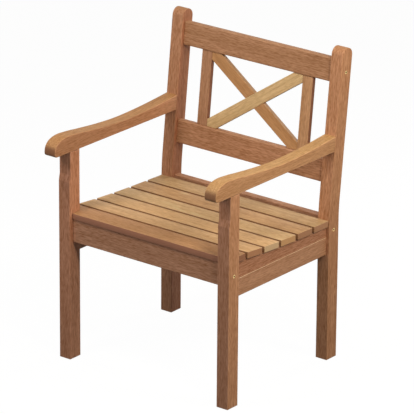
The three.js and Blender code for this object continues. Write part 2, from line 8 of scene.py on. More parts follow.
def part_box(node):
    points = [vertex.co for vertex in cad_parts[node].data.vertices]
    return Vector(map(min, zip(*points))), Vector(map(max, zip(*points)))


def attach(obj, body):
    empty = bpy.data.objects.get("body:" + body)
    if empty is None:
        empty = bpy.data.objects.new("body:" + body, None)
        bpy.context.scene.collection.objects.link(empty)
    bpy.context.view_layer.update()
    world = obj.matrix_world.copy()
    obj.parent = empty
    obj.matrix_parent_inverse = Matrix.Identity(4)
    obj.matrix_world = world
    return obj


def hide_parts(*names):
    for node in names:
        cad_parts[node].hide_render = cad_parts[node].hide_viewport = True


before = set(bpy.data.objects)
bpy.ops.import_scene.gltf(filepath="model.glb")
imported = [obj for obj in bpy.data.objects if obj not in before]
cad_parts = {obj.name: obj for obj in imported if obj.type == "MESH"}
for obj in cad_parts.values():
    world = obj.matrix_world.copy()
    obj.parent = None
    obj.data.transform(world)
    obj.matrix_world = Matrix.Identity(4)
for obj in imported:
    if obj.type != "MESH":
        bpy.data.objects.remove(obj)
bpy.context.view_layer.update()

# Front legs: two square teak posts, each sawn from one length, with the arm's tenon on top.
# They are planed, thinned above a sloped shoulder, sanded on the edges and oiled.
# The timber is straight-grained, so the grain shows as long fine stripes from foot to arm.


def linear(hex_colour):
    """The linear colour of an sRGB hex value such as "#b07c52", with full alpha."""
    channels = [int(hex_colour[i : i + 2], 16) / 255 for i in (1, 3, 5)]
    return (*[c / 12.92 if c <= 0.04045 else ((c + 0.055) / 1.055) ** 2.4 for c in channels], 1.0)


def add(tree, kind, inputs=None, **settings):
    """One new node with its settings. An input is a value, a socket or a node's first output."""
    made = tree.nodes.new(kind)
    for name, value in settings.items():
        setattr(made, name, value)
    for name, value in (inputs or {}).items():
        if isinstance(value, bpy.types.Node):
            value = value.outputs[0]
        if isinstance(value, bpy.types.NodeSocket):
            tree.links.new(value, made.inputs[name])
        else:
            made.inputs[name].default_value = value
    return made


def blank_finish(name):
    """A new material whose node tree is empty."""
    made = bpy.data.materials.new(name)
    made.use_nodes = True
    made.node_tree.nodes.clear()
    return made


def placed(name, data):
    """A new object in the scene that holds a mesh, a lamp or a camera."""
    made = bpy.data.objects.new(name, data)
    bpy.context.scene.collection.objects.link(made)
    return made


def long_spots(tree, place, across_mm, along_mm, detail):
    """Noise in the log, in spots so wide across the grain and so long with it."""
    per_metre = (1000 / across_mm, 1000 / across_mm, 1000 / along_mm)
    scaled = add(tree, "ShaderNodeVectorMath", {0: place, 1: per_metre}, operation="MULTIPLY")
    return add(tree, "ShaderNodeTexNoise", {"Vector": scaled, "Scale": 1.0, "Detail": detail})


def place_in_log(tree, where, turn, heart):
    """A place in the log that a board was sawn from: z runs along the grain, from the heart."""
    log = add(
        tree,
        "ShaderNodeMapping",
        {"Vector": where, "Rotation": turn.to_euler(), "Location": -(turn @ Vector(heart))},
    )
    # The log isn't a true cylinder: its rings wander by up to 6 mm over some 25 cm of length.
    wander = 0.006
    drift = long_spots(tree, log, across_mm=71.43, along_mm=250, detail=1.0).outputs["Color"]
    swing = add(
        tree,
        "ShaderNodeVectorMath",
        {0: drift, 1: (2 * wander, 2 * wander, 0), 2: (-wander, -wander, 0)},
        operation="MULTIPLY_ADD",
    )
    return add(tree, "ShaderNodeVectorMath", {0: log, 1: swing}, operation="ADD")


def late_wood(tree, log, ring_mm):
    """The share of dark late wood at a place, from the growth rings round the heart."""
    across = add(tree, "ShaderNodeVectorMath", {0: log, 1: (1, 1, 0)}, operation="MULTIPLY")
    radius = add(tree, "ShaderNodeVectorMath", {0: across}, operation="LENGTH").outputs["Value"]
    count = add(tree, "ShaderNodeMath", {0: radius, 1: 1000 / ring_mm}, operation="MULTIPLY")
    # Good and poor summers make some rings wider than others.
    summers = {"W": count, "Scale": 0.45, "Detail": 2.0}
    uneven = add(tree, "ShaderNodeTexNoise", summers, noise_dimensions="1D")
    phase = add(tree, "ShaderNodeMath", {0: uneven, 1: 2.4, 2: count}, operation="MULTIPLY_ADD")
    ring = add(tree, "ShaderNodeMath", {0: phase}, operation="FRACT")
    return add(
        tree,
        "ShaderNodeMapRange",
        {"Value": ring, "From Min": 0.3, "From Max": 0.95},
        interpolation_type="SMOOTHSTEP",
    )


def dark_grain(tree, log, fibre, ring_mm, stripe):
    """How dark the late wood, the fibres and the pores together make a place."""
    # Growth rings are 2 to 4 mm wide. At 2.8 mm to a pixel they are drawn 5 mm wide or more.
    rings = late_wood(tree, log, ring_mm)
    fibres = add(
        tree, "ShaderNodeMapRange", {"Value": fibre, "From Min": 0.32, "From Max": 0.68}
    )
    # Pores are dark dashes 0.3 mm by 5 mm, open to the face. They are drawn 3 mm by 17 mm.
    dashes = long_spots(tree, log, across_mm=2.632, along_mm=16.67, detail=1.0)
    pores = add(
        tree, "ShaderNodeMapRange", {"Value": dashes, "From Min": 0.36, "From Max": 0.7}
    )
    darkness = 0.0
    for mark, dark_share in ((rings, 0.10), (fibres, 0.29), (pores, 0.40)):
        darker = {0: mark, 1: dark_share * stripe, 2: darkness}
        darkness = add(tree, "ShaderNodeMath", darker, operation="MULTIPLY_ADD")
    return darkness


def pale_streak(tree, log, streak_mm):
    """How far a place lies in one of the paler streaks that run the length of a board."""
    streaks = long_spots(tree, log, across_mm=streak_mm, along_mm=454.5, detail=3.0)
    return add(
        tree,
        "ShaderNodeMapRange",
        {"Value": streaks, "From Min": 0.36, "From Max": 0.68, "To Max": 0.5},
        interpolation_type="SMOOTHSTEP",
    )


def tone_with_painted_side_light(tree, normal, board_tone, sides):
    """The board's tone, and another one on its faces that look along x. That one is matched to how
    those faces look, so it is partly the timber's own tone and partly painted light and shade."""
    along_x = add(tree, "ShaderNodeSeparateXYZ", {0: normal}).outputs["X"]
    facing = add(tree, "ShaderNodeMath", {0: along_x}, operation="ABSOLUTE")
    side = add(tree, "ShaderNodeMapRange", {"Value": facing, "From Min": 0.3, "From Max": 0.5})
    mixed = {0: side, 6: board_tone, 7: linear(sides)}
    return add(tree, "ShaderNodeMix", mixed, data_type="RGBA").outputs[2]


def cut_end(tree, normal, grain):
    """How far a face is a cut end, which has a tone of its own."""
    along = add(
        tree, "ShaderNodeVectorMath", {0: normal, 1: grain}, operation="DOT_PRODUCT"
    ).outputs["Value"]
    facing = add(tree, "ShaderNodeMath", {0: along}, operation="ABSOLUTE")
    return add(
        tree,
        "ShaderNodeMapRange",
        {"Value": facing, "From Min": 0.8, "From Max": 0.97, "To Max": 0.8},
    )


def worn_and_highlit_edge(tree, normal, turn):
    """How far the oil is worn off, with a painted highlight: the long edges are sanded and catch
    the light, so each is a paler line.
    """
    turned = add(
        tree,
        "ShaderNodeMapping",
        {"Vector": normal, "Rotation": turn.to_euler()},
        vector_type="VECTOR",
    )
    # The square of the normal's x in the log, times what is left to 1, is largest at an edge.
    sideways = add(tree, "ShaderNodeSeparateXYZ", {0: turned})
    square = add(tree, "ShaderNodeMath", {0: sideways, 1: sideways}, operation="MULTIPLY")
    rest = add(tree, "ShaderNodeMath", {0: 1.0, 1: square}, operation="SUBTRACT")
    edge = add(tree, "ShaderNodeMath", {0: square, 1: rest}, operation="MULTIPLY")
    return add(
        tree,
        "ShaderNodeMapRange",
        {"Value": edge, "From Min": 0.1, "From Max": 0.16, "To Max": 0.45},
    )


def grained_timber(
    name,
    grain,
    heart,
    tone=None,
    ends="#6d412d",
    sides=None,
    stripe=1.0,
    ring_mm=5.0,
    streak_mm=18.0,
):
    """The finish of a board whose grain runs along a direction, from a log whose heart is at a
    place in metres. Without a tone, the board's number and its two tones are its attributes."""
    made = blank_finish(name)
    tree = made.node_tree
    grain = Vector(grain).normalized()
    turn = grain.rotation_difference(Vector((0, 0, 1)))
    seen = add(tree, "ShaderNodeTexCoord").outputs
    where, normal = seen["Object"], seen["Normal"]
    if tone:
        board_tone, end_tone = linear(tone), linear(ends)
    else:
        board_tone = add(tree, "ShaderNodeAttribute", attribute_name="tone")
        end_tone = add(tree, "ShaderNodeAttribute", attribute_name="end_tone")
        # Each slat is cut from another plank, so its board number moves it through the log.
        next_plank = (0.37, 0.043, 0.029)
        board = add(tree, "ShaderNodeAttribute", attribute_name="board").outputs["Vector"]
        moved = {0: board, 1: next_plank, 2: where}
        where = add(tree, "ShaderNodeVectorMath", moved, operation="MULTIPLY_ADD")
    if sides:
        board_tone = tone_with_painted_side_light(tree, normal, board_tone, sides)
    log = place_in_log(tree, where, turn, heart)
    # Fibres are 0.2 mm wide, and drawn 3 mm by 60 mm. They give the planed face its fine stripe.
    fibre = long_spots(tree, log, across_mm=2.941, along_mm=62.5, detail=2.0)
    darkness = dark_grain(tree, log, fibre, ring_mm, stripe)
    # Streaks, dark grain and worn edges with their painted highlight all keep the board's own hue:
    # the pale ones are a little greyer than the board and the dark ones deeper and redder.
    pale, deep, rubbed_and_highlit = (
        add(
            tree,
            "ShaderNodeMix",
            {0: 1.0, 6: board_tone, 7: factor},
            data_type="RGBA",
            blend_type="MULTIPLY",
        ).outputs[2]
        for factor in ((1.25, 1.3, 1.4, 1), (0.36, 0.2, 0.02, 1), (1.3, 1.4, 1.55, 1))
    )
    colour = board_tone
    for share, other in (
        (pale_streak(tree, log, streak_mm), pale),
        (darkness, deep),
        (cut_end(tree, normal, grain), end_tone),
        (worn_and_highlit_edge(tree, normal, turn), rubbed_and_highlit),
    ):
        mixed = {0: share, 6: colour, 7: other}
        colour = add(tree, "ShaderNodeMix", mixed, data_type="RGBA").outputs[2]
    roughness = add(
        tree, "ShaderNodeMapRange", {"Value": fibre, "To Min": 0.46, "To Max": 0.7}
    )
    relief = add(
        tree,
        "ShaderNodeBump",
        {"Height": darkness, "Strength": 0.3, "Distance": 0.0004},
        invert=True,
    )
    # A dry oil finish is duller than lacquer, so its sheen is weaker than the usual half.
    surface = add(
        tree,
        "ShaderNodeBsdfPrincipled",
        {
            "Base Color": colour,
            "Roughness": roughness,
            "Normal": relief,
            "IOR": 1.46,
            "Specular IOR Level": 0.3,
        },
    )
    add(tree, "ShaderNodeOutputMaterial", {"Surface": surface})
    return made


def clothe(node, material, curved=False):
    """Gives a CAD node its finish. A curved one is replaced by a smooth copy."""
    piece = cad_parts[node]
    if curved:
        touching = 1e-6
        crisp_edge = math.radians(18)
        mesh = piece.data.copy()
        mesh.name = node + "_worked"
        shape = bmesh.new()
        shape.from_mesh(mesh)
        bmesh.ops.remove_doubles(shape, verts=shape.verts, dist=touching)
        shape.to_mesh(mesh)
        shape.free()
        if "custom_normal" in mesh.attributes:
            mesh.attributes.remove(mesh.attributes["custom_normal"])
        mesh.shade_smooth()
        mesh.set_sharp_from_angle(angle=crisp_edge)
        piece = placed(node + "_worked", mesh)
        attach(piece, "root")
        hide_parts(node)
    piece.data.materials.clear()
    piece.data.materials.append(material)


def heart_beside(node, away):
    """The heart of the log that a node's board was sawn from: its middle, and so far away."""
    low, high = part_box(node)
    return (low + high) / 2 + Vector(away)


# Their faces that look along x have a lighter tone of their own, partly the timber's and partly
# painted light.
for side, tone, side_tone_and_light, away in (
    ("left", "#c69072", "#ce9473", (-0.09, 0.05, 0.31)),
    ("right", "#c08e72", "#cb956e", (0.11, 0.04, -0.2)),
):
    leg = "front_leg_" + side
    timber = grained_timber(
        "oiled_teak_" + leg, (0, 0, 1), heart_beside(leg, away), tone, sides=side_tone_and_light
    )
    clothe(leg, timber)

# Rear posts: each is sawn to its bend from one wide teak plank and rounded over at the top.
# The grain runs straight through the plank, so it lies a little askew to both halves of the post.
# Planed, edges sanded, oiled.
askew = (0, 0.054, 1)
# Their faces that look along x have a tone of their own, partly painted shade: the left post's
# inner face is darker.
for side, tone, side_tone_and_light, away in (
    ("left", "#c08d6c", "#ad7657", (-0.12, 0.07, 0.1)),
    ("right", "#ca9571", "#c28d66", (0.1, 0.08, 0.7)),
):
    post = "rear_post_" + side
    timber = grained_timber(
        "oiled_teak_" + post,
        askew,
        heart_beside(post, away),
        tone,
        ends="#b07f59",
        sides=side_tone_and_light,
    )
    clothe(post, timber, curved=True)

# Side rails: a lower teak board with a bearer glued on its edge, both tenoned into leg and post.
# The bearer's top edge is sawn to the dish of the seat, and it is cut from stripier, redder timber.
for side, lower_tone, bearer_tone, x, y in (
    ("left", "#be8d6b", "#bf8865", 0.02, 0.4),
    ("right", "#c18f6c", "#bf8765", -0.03, -0.2),
):
    lower = "side_rail_" + side
    timber = grained_timber(
        "oiled_teak_" + lower, (0, 1, 0), heart_beside(lower, (x, y, -0.1)), lower_tone, stripe=0.8
    )
    clothe(lower, timber)
    bearer = "seat_bearer_" + side
    timber = grained_timber(
        "oiled_teak_" + bearer,
        (0, 1, 0),
        heart_beside(bearer, (x, -y, 0.09)),
        bearer_tone,
        stripe=1.05,
        ring_mm=8.0,
    )
    clothe(bearer, timber)

# Cross rails: the apron between the front legs and the seat rail between the posts, both bolted
# from outside. Planed teak boards on edge, with the grain across the chair.
for rail, tone, away in (
    ("front_apron", "#c19174", (0.2, 0.03, -0.13)),
    ("rear_seat_rail", "#c29172", (-0.3, 0.02, 0.12)),
):
    timber = grained_timber(
        "oiled_teak_" + rail, (1, 0, 0), heart_beside(rail, away), tone, streak_mm=24.0
    )
    clothe(rail, timber)

# Armrests: shaped teak boards, flat under, hollow on top behind a crest, with a rounded nose.
# Sawn to shape, spindle-sanded and oiled, so they are the smoothest and warmest timber here.
# Their faces that look along x have a tone of their own, partly the timber's and partly painted
# light.
for side, tone, side_tone_and_light, away in (
    ("left", "#b7885a", "#ba8763", (-0.11, 0.2, 0.06)),
    ("right", "#c19767", "#c7956a", (0.1, -0.1, 0.09)),
):
    arm = "armrest_" + side
    timber = grained_timber(
        "oiled_teak_" + arm,
        (0, 1, 0),
        heart_beside(arm, away),
        tone,
        ends="#784e37",
        sides=side_tone_and_light,
        stripe=0.8,
        streak_mm=22.0,
    )
    clothe(arm, timber, curved=True)

# Seat slats: six planed teak boards with eased edges, dowelled down on the dished bearers.
# The front one is notched round both legs. No two are alike: the first is red, the third pale.
leg_low, leg_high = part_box("front_leg_right")
slat_count = 6
slat_length = 0.594
slat_gap = 0.010
seat_depth = 0.441
slat_width = (seat_depth - (slat_count - 1) * slat_gap) / slat_count
front_setback = 0.0105
first_front = leg_low.y + front_setback
notch_clearance = 0.0005
seat_top = 0.4365
seat_drop = 0.018
# How much of the drop is reached at the front edge and behind each slat.
drop_shares = (0, 0.02, 0.37, 0.62, 0.8, 0.9, 1)
slat_tones = ("#b68a61", "#cfa97d", "#d8b183", "#d1af83", "#bf986e", "#c19f75")
# Edge tones: the first is the front slat's own red, the dark ones behind are painted shade in the
# gaps.
edge_and_gap_shade_tones = ("#a06c5a",) + ("#7c4e32",) * (slat_count - 1)
end_tones = ("#8c5b41", "#a8714e", "#d2b088", "#c69363", "#a57353", "#ac795a")


def seat_height(y):
    """Height of the dished seat at a place y of the chair."""
    along = min(max((y - first_front) / seat_depth, 0), 1) * slat_count
    step = min(int(along), slat_count - 1)
    share = drop_shares[step] + (drop_shares[step + 1] - drop_shares[step]) * (along - step)
    return seat_top - share * seat_drop


def mark_points(mesh, name, kind, values):
    """Gives each point of a mesh its own value of an attribute."""
    field = {"FLOAT": "value", "FLOAT_COLOR": "color", "FLOAT_VECTOR": "vector"}[kind]
    points = mesh.attributes.new(name, kind, "POINT").data
    for point, value in zip(points, values):
        setattr(point, field, value)


fronts = [first_front + i * (slat_width + slat_gap) for i in range(slat_count)]
falls = [seat_height(y + slat_width) - seat_height(y) for y in fronts]
tilts = [(math.asin(fall / slat_width), 0, 0) for fall in falls]
bearings = bpy.data.meshes.new("seat_slats")
bearings.from_pydata([(0, y, seat_height(y)) for y in fronts], [], [])
mark_points(bearings, "tilt", "FLOAT_VECTOR", tilts)
mark_points(bearings, "tone", "FLOAT_COLOR", map(linear, slat_tones))
mark_points(bearings, "edge_and_gap_shade_tone", "FLOAT_COLOR", map(linear, edge_and_gap_shade_tones))
mark_points(bearings, "board", "FLOAT", range(1, slat_count + 1))
mark_points(bearings, "end_tone", "FLOAT_COLOR", map(linear, end_tones))
seat = placed("seat_slats", bearings)

slat_timber = grained_timber("oiled_teak_seat_slats", (1, 0, 0), (0.1, 0.3, 0.34), stripe=0.8)
slat_shades = slat_timber.node_tree
slat_finish = slat_shades.nodes["Principled BSDF"].inputs["Base Color"]
slat_seen = add(slat_shades, "ShaderNodeTexCoord").outputs
# The long edges of the slats have their own tone. The first slat's front edge is its own red; on
# the slats behind it the tone is dark, painted shade where their front edges show in the gaps.
edge_and_gap_shade_tone = add(slat_shades, "ShaderNodeAttribute", attribute_name="edge_and_gap_shade_tone")
along_y = add(slat_shades, "ShaderNodeSeparateXYZ", {0: slat_seen["Normal"]}).outputs["Y"]
edge_facing = add(slat_shades, "ShaderNodeMath", {0: along_y}, operation="ABSOLUTE")
at_edge = add(
    slat_shades,
    "ShaderNodeMapRange",
    {"Value": edge_facing, "From Min": 0.6, "From Max": 0.95, "To Max": 0.75},
)
slat_colour = add(
    slat_shades,
    "ShaderNodeMix",
    {0: at_edge, 6: slat_finish.links[0].from_socket, 7: edge_and_gap_shade_tone},
    data_type="RGBA",
).outputs[2]
# Pale licks of figure show in the fourth slat of the photo: two strokes that slant across the
# grain left of the middle, with a faint one beside them, and a shorter one on the slat behind.
lick_tone = linear("#cbb286")
fray_depth = 0.008
fray_spot_mm = 8.33
ragged = add(
    slat_shades,
    "ShaderNodeTexNoise",
    {"Vector": slat_seen["Object"], "Scale": 1000 / fray_spot_mm},
)
rough_place = add(
    slat_shades,
    "ShaderNodeVectorMath",
    {0: ragged.outputs["Color"], 1: (fray_depth, fray_depth, 0), 2: slat_seen["Object"]},
    operation="MULTIPLY_ADD",
)
for middle, half_size, slant, share in (
    ((-0.070, 0.0125, 0.425), (0.036, 0.0045, 0.02), -0.26, 0.8),
    ((-0.006, 0.0105, 0.425), (0.028, 0.0065, 0.02), -0.14, 0.65),
    ((-0.112, 0.030, 0.425), (0.040, 0.012, 0.02), -0.05, 0.35),
    ((-0.141, 0.1265, 0.421), (0.018, 0.005, 0.02), 0.2, 0.5),
):
    spot = add(
        slat_shades,
        "ShaderNodeMapping",
        {
            "Vector": rough_place,
            "Location": middle,
            "Rotation": (0, 0, slant),
            "Scale": half_size,
        },
        vector_type="TEXTURE",
    )
    from_middle = add(slat_shades, "ShaderNodeVectorMath", {0: spot}, operation="LENGTH")
    lick = add(
        slat_shades,
        "ShaderNodeMapRange",
        {
            "Value": from_middle.outputs["Value"],
            "From Min": 1.15,
            "From Max": 0.55,
            "To Max": share,
        },
        interpolation_type="SMOOTHSTEP",
    )
    slat_colour = add(
        slat_shades, "ShaderNodeMix", {0: lick, 6: slat_colour, 7: lick_tone}, data_type="RGBA"
    ).outputs[2]
slat_shades.links.new(slat_colour, slat_finish)


def tree_of_shapes(name, sizes):
    """A Geometry Nodes tree with the sockets Places, Finish and one for each named size, and the
    identifiers of those that take a value."""
    tree = bpy.data.node_groups.new(name, "GeometryNodeTree")
    tree.interface.new_socket("Places", in_out="INPUT", socket_type="NodeSocketGeometry")
    sockets = {
        size: tree.interface.new_socket(size, in_out="INPUT", socket_type="NodeSocketFloat")
        for size in sizes
    }
    sockets["Finish"] = tree.interface.new_socket(
        "Finish", in_out="INPUT", socket_type="NodeSocketMaterial"
    )
    tree.interface.new_socket("Shapes", in_out="OUTPUT", socket_type="NodeSocketGeometry")
    return tree, {name: socket.identifier for name, socket in sockets.items()}


slat_sizes = {
    "Length": slat_length,
    "Width": slat_width,
    "Thickness": 0.0185,
    "Arris": 0.0015,
    "Notch length": slat_length / 2 - (leg_low.x - notch_clearance),
    "Notch depth": leg_high.y + notch_clearance - first_front,
}
slat_tree, slat_sockets = tree_of_shapes("slats_on_bearers", slat_sizes)
given = add(slat_tree, "NodeGroupInput").outputs
section = add(
    slat_tree,
    "GeometryNodeCurvePrimitiveQuadrilateral",
    {"Width": given["Width"], "Height": given["Thickness"]},
)
eased = add(
    slat_tree,
    "GeometryNodeFilletCurve",
    {"Curve": section, "Radius": given["Arris"], "Count": 3},
    mode="POLY",
)
half = add(slat_tree, "ShaderNodeMath", {0: given["Length"], 1: 0.5}, operation="MULTIPLY")
minus_half = add(slat_tree, "ShaderNodeMath", {0: half, 1: -1}, operation="MULTIPLY")
left_end = add(slat_tree, "ShaderNodeCombineXYZ", {"Z": minus_half})
right_end = add(slat_tree, "ShaderNodeCombineXYZ", {"Z": half})
length_line = add(
    slat_tree, "GeometryNodeCurvePrimitiveLine", {"Start": left_end, "End": right_end}
)
stick = add(
    slat_tree,
    "GeometryNodeCurveToMesh",
    {"Curve": length_line, "Profile Curve": eased, "Fill Caps": True},
)
half_width = add(slat_tree, "ShaderNodeMath", {0: given["Width"], 1: 0.5}, operation="MULTIPLY")
half_down = add(
    slat_tree, "ShaderNodeMath", {0: given["Thickness"], 1: -0.5}, operation="MULTIPLY"
)
middle = add(slat_tree, "ShaderNodeCombineXYZ", {"Y": half_width, "Z": half_down})
slat = add(
    slat_tree,
    "GeometryNodeTransform",
    {"Geometry": stick, "Translation": middle, "Rotation": (math.pi / 2, 0, math.pi / 2)},
)
# The notch's cutter is a block that overruns the slat's end and its faces.
cutter_length = 0.08
cutter_height = 0.06
notch_size = add(
    slat_tree,
    "ShaderNodeCombineXYZ",
    {"X": cutter_length, "Y": given["Notch depth"], "Z": cutter_height},
)
notch_block = add(slat_tree, "GeometryNodeMeshCube", {"Size": notch_size})
notch_inner = add(
    slat_tree, "ShaderNodeMath", {0: half, 1: given["Notch length"]}, operation="SUBTRACT"
)
notch_x = add(slat_tree, "ShaderNodeMath", {0: notch_inner, 1: cutter_length / 2}, operation="ADD")
minus_x = add(slat_tree, "ShaderNodeMath", {0: notch_x, 1: -1}, operation="MULTIPLY")
notch_y = add(
    slat_tree, "ShaderNodeMath", {0: given["Notch depth"], 1: 0.5}, operation="MULTIPLY"
)
both = add(slat_tree, "GeometryNodeJoinGeometry")
for notch_middle in (minus_x, notch_x):
    notch_place = add(slat_tree, "ShaderNodeCombineXYZ", {"X": notch_middle, "Y": notch_y})
    notch = add(
        slat_tree, "GeometryNodeTransform", {"Geometry": notch_block, "Translation": notch_place}
    )
    slat_tree.links.new(notch.outputs[0], both.inputs[0])
notched = add(
    slat_tree,
    "GeometryNodeMeshBoolean",
    {"Mesh 1": slat, "Mesh 2": both},
    operation="DIFFERENCE",
    solver="EXACT",
)
number = add(slat_tree, "GeometryNodeInputIndex")
is_first = add(
    slat_tree, "FunctionNodeCompare", {2: number, 3: 0}, data_type="INT", operation="EQUAL"
)
is_other = add(slat_tree, "FunctionNodeBooleanMath", {0: is_first}, operation="NOT")
tilt = add(
    slat_tree, "GeometryNodeInputNamedAttribute", {"Name": "tilt"}, data_type="FLOAT_VECTOR"
)
all_slats = add(slat_tree, "GeometryNodeJoinGeometry")
for chosen, shape in ((is_other, slat), (is_first, notched)):
    laid = add(
        slat_tree,
        "GeometryNodeInstanceOnPoints",
        {"Points": given["Places"], "Selection": chosen, "Instance": shape, "Rotation": tilt},
    )
    slat_tree.links.new(laid.outputs[0], all_slats.inputs[0])


def finish_shapes(tree, instances):
    """The end of a tree: its instances made real and given their finish."""
    real = add(tree, "GeometryNodeRealizeInstances", {0: instances})
    material = add(tree, "NodeGroupInput").outputs["Finish"]
    clad = add(tree, "GeometryNodeSetMaterial", {"Geometry": real, "Material": material})
    add(tree, "NodeGroupOutput", {0: clad})


def grow(piece, tree, sockets, values):
    """Turns a piece's points into its plain mesh by a tree, smooth but for the sharp edges."""
    growth = piece.modifiers.new("shapes", "NODES")
    growth.node_group = tree
    for name, value in values.items():
        growth[sockets[name]] = value
    evaluated = piece.evaluated_get(bpy.context.evaluated_depsgraph_get())
    mesh = bpy.data.meshes.new_from_object(evaluated)
    piece.modifiers.clear()
    piece.data = mesh
    mesh.shade_smooth()
    mesh.set_sharp_from_angle(angle=math.radians(35))


def ease(piece, width):
    """Bevels the sharp edges that a piece still has."""
    bevel = piece.modifiers.new("eased_edges", "BEVEL")
    bevel.width = width
    bevel.segments = 2
    bevel.limit_method = "ANGLE"
    bevel.angle_limit = math.radians(50)
    return bevel


finish_shapes(slat_tree, all_slats)
grow(seat, slat_tree, slat_sockets, {**slat_sizes, "Finish": slat_timber})
ease(seat, 0.0010).harden_normals = True
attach(seat, "root")
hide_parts(*["seat_slat_%d" % n for n in range(1, slat_count + 1)])

# Back rails: the upper one is bolted through the posts, the lower one is tenoned into them.
# Planed teak boards with well rounded edges, raked with the posts.
for rail, tone, away in (
    ("top_back_rail", "#b78967", (0.4, 0.16, -0.03)),
    ("lower_back_rail", "#be8d6b", (-0.2, 0.12, 0.05)),
):
    timber = grained_timber(
        "oiled_teak_" + rail, (1, 0, 0), heart_beside(rail, away), tone, streak_mm=24.0
    )
    clothe(rail, timber, curved=True)

# Stiles: two thin upright teak strips between the back rails, stub-tenoned into both.
# Planed and oiled. Their narrow sides are deeply shaded in the photo, so these have a darker tone.
up_the_back = Vector((0, 0.108, 0.994))
for side, tone, side_tone_and_light, away in (
    ("left", "#ba8c6c", "#946145", (0.1, 0.05, 0.2)),
    ("right", "#c89b74", "#a06b4b", (-0.1, 0.06, -0.3)),
):
    stile = "back_stile_" + side
    timber = grained_timber(
        "oiled_teak_" + stile,
        up_the_back,
        heart_beside(stile, away),
        tone,
        sides=side_tone_and_light,
        stripe=0.8,
    )
    clothe(stile, timber)

# Diagonals: two thin teak strips, crossed flush by a halving joint and glued into the corners.
# The one that rises to the sitter's left is pale and yellowish like sapwood, the other warm brown.
opening_height, opening_width = 0.2174, 0.3194
slope = math.atan2(opening_height, opening_width)
# Their long edges, which look along x, have a darker tone: partly painted shade.
for name, tone, side_tone_and_light, way, slot in (
    ("rising", "#dbbb8b", "#c6a97d", 1, "teak_pale"),
    ("falling", "#c09062", "#ad8258", -1, "teak_frame"),
):
    strip = "back_diagonal_" + name
    timber = grained_timber(
        "oiled_teak_" + strip,
        Vector((way * math.cos(slope), 0, 0)) + math.sin(slope) * up_the_back,
        heart_beside(strip, (0.02 * way, 0.09, 0.05)),
        tone,
        sides=side_tone_and_light,
        stripe=0.6,
    )
    clothe(strip, timber)

# Glue line: each side rail's two boards are edge-glued, and the dried glue shows as a pale thread.
# The real thread is 0.5 mm high. It is drawn 1.6 mm high, so that it shows as a thin line.


def clouded_finish(name, spot_mm, tones, roughnesses, metallic=0.0):
    """A finish that is clouded between two tones and two roughnesses, in spots of a size."""
    made = blank_finish(name)
    tree = made.node_tree
    place = add(tree, "ShaderNodeTexCoord").outputs["Object"]
    spots = add(tree, "ShaderNodeTexNoise", {"Vector": place, "Scale": 1000 / spot_mm})
    first, second = map(linear, tones)
    colour = add(tree, "ShaderNodeMix", {0: spots, 6: first, 7: second}, data_type="RGBA")
    least, most = roughnesses
    dull = add(tree, "ShaderNodeMapRange", {"Value": spots, "To Min": least, "To Max": most})
    surface = add(
        tree,
        "ShaderNodeBsdfPrincipled",
        {"Base Color": colour.outputs[2], "Roughness": dull, "Metallic": metallic},
    )
    add(tree, "ShaderNodeOutputMaterial", {"Surface": surface})
    return made


glue = clouded_finish("dried_wood_glue", 4.545, ("#e8c39c", "#dab087"), (0.45, 0.45))

rail_low, rail_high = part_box("side_rail_right")
glue_height = (rail_high.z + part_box("seat_bearer_right")[0].z) / 2
glue_end_gap = 0.0001
glue_ends = (leg_high.y + glue_end_gap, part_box("rear_post_right")[0].y - glue_end_gap)
# The upper half of the thread's section: places past the rail's outer face, and their heights
# above the middle. It starts just short of the rail's inner face and swells outside the joint.
inner_setback = 0.0005
glue_depth = rail_high.x - rail_low.x - inner_setback
half_section = ((-glue_depth, 0.00014), (0, 0.00014), (0.0001, 0.0008), (0.0004, 0.0006))
section = [(past, -up) for past, up in half_section]
section += [(past, up) for past, up in reversed(half_section)]
corners = len(section)
glue_mesh = bpy.data.meshes.new("glue_lines")
threads = bmesh.new()
for way in (-1, 1):
    near, far = (
        [
            threads.verts.new((way * (rail_high.x + past), y, glue_height + up))
            for past, up in section
        ]
        for y in glue_ends
    )
    for i in range(corners):
        after = (i + 1) % corners
        threads.faces.new((near[i], near[after], far[after], far[i]))
    threads.faces.new(near)
    threads.faces.new(far)
bmesh.ops.recalc_face_normals(threads, faces=threads.faces)
threads.to_mesh(glue_mesh)
threads.free()
glue_mesh.materials.append(glue)
glue_lines = placed("glue_lines", glue_mesh)
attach(glue_lines, "root")

# Bolts: six hexagon-socket bolts in counterbores, yellow-passivated steel, one at each bolted
# joint. The turned heads are bright and brassy, and the socket is the dark spot in the middle.
passivated = clouded_finish(
    "yellow_passivated_steel", 2.857, ("#ffe6a8", "#f8cd80"), (0.2, 0.38), metallic=1.0
)
bolt_shades = passivated.node_tree
bolt_finish = bolt_shades.nodes["Principled BSDF"].inputs["Base Color"]
socket_shade = add(bolt_shades, "ShaderNodeAttribute", attribute_name="socket").outputs["Fac"]
shaded_socket = add(
    bolt_shades,
    "ShaderNodeMix",
    {0: socket_shade, 6: bolt_finish.links[0].from_socket, 7: linear("#3a2a1c")},
    data_type="RGBA",
).outputs[2]
bolt_shades.links.new(shaded_socket, bolt_finish)

bolted = ("apron", "seat_rail", "top_rail")
bolt_names = [joint + "_bolt_" + side for joint in bolted for side in ("left", "right")]
heads = []
for name in bolt_names:
    low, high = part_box(name)
    outer = high.x if high.x > 0 else low.x
    heads.append((outer, (low.y + high.y) / 2, (low.z + high.z) / 2))
# All six are of one length, so the last one's is taken.
bolt_length = high.x - low.x
marks = bpy.data.meshes.new("bolts")
marks.from_pydata(heads, [], [])
outward_turns = [(0, math.copysign(math.pi / 2, x), 0) for x, y, z in heads]
mark_points(marks, "turn", "FLOAT_VECTOR", outward_turns)
bolts = placed("bolts", marks)

